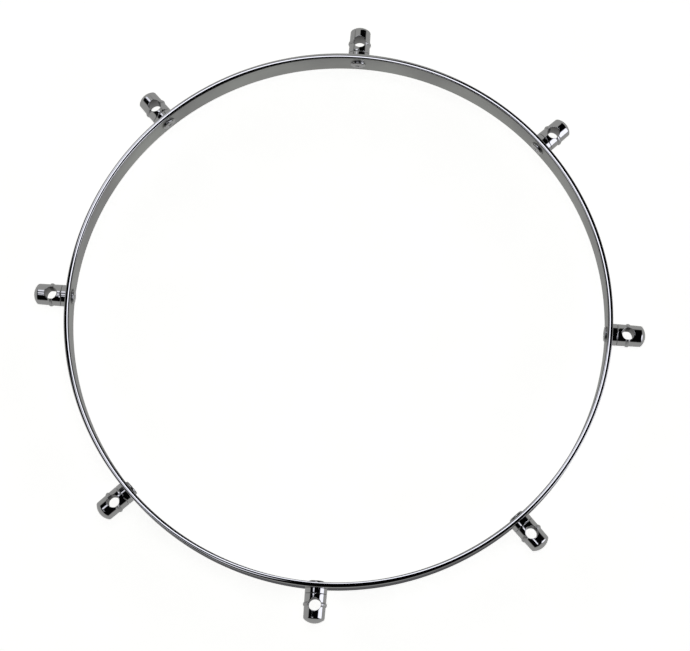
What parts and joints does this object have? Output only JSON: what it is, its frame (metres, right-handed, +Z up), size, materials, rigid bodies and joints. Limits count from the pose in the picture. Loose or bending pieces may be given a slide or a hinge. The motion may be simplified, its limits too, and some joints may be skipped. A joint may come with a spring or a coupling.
{
  "type": "drum hoop",
  "caption": "Flat chromed counterhoop for a drum head: a round band with radial rod ears, each on a saddle and held by a screw from inside.",
  "frame": {"origin": "centre of the hoop's lower edge, the edge that presses on the drum head", "axes": "+Z up along the hoop's axis, away from the drum head; +X through the middle of one ear"},
  "size_m": [0.3538, 0.3538, 0.0185],
  "materials": {
    "hoop_chrome": "polished edges, satin inner wall",
    "ear_chrome": "mirror polished",
    "screw_chrome": "bright plated"
  },
  "bodies": {
    "root": {"hoop_band": "hoop_chrome", "rod_ear_1": "ear_chrome", "rod_ear_2": "ear_chrome", "rod_ear_3": "ear_chrome", "rod_ear_4": "ear_chrome", "rod_ear_5": "ear_chrome", "rod_ear_6": "ear_chrome", "rod_ear_7": "ear_chrome", "rod_ear_8": "ear_chrome", "ear_saddle_1": "ear_chrome", "ear_saddle_2": "ear_chrome", "ear_saddle_3": "ear_chrome", "ear_saddle_4": "ear_chrome", "ear_saddle_5": "ear_chrome", "ear_saddle_6": "ear_chrome", "ear_saddle_7": "ear_chrome", "ear_saddle_8": "ear_chrome", "ear_screw_1": "screw_chrome", "ear_screw_2": "screw_chrome", "ear_screw_3": "screw_chrome", "ear_screw_4": "screw_chrome", "ear_screw_5": "screw_chrome", "ear_screw_6": "screw_chrome", "ear_screw_7": "screw_chrome", "ear_screw_8": "screw_chrome"}
  },
  "joints": []
}
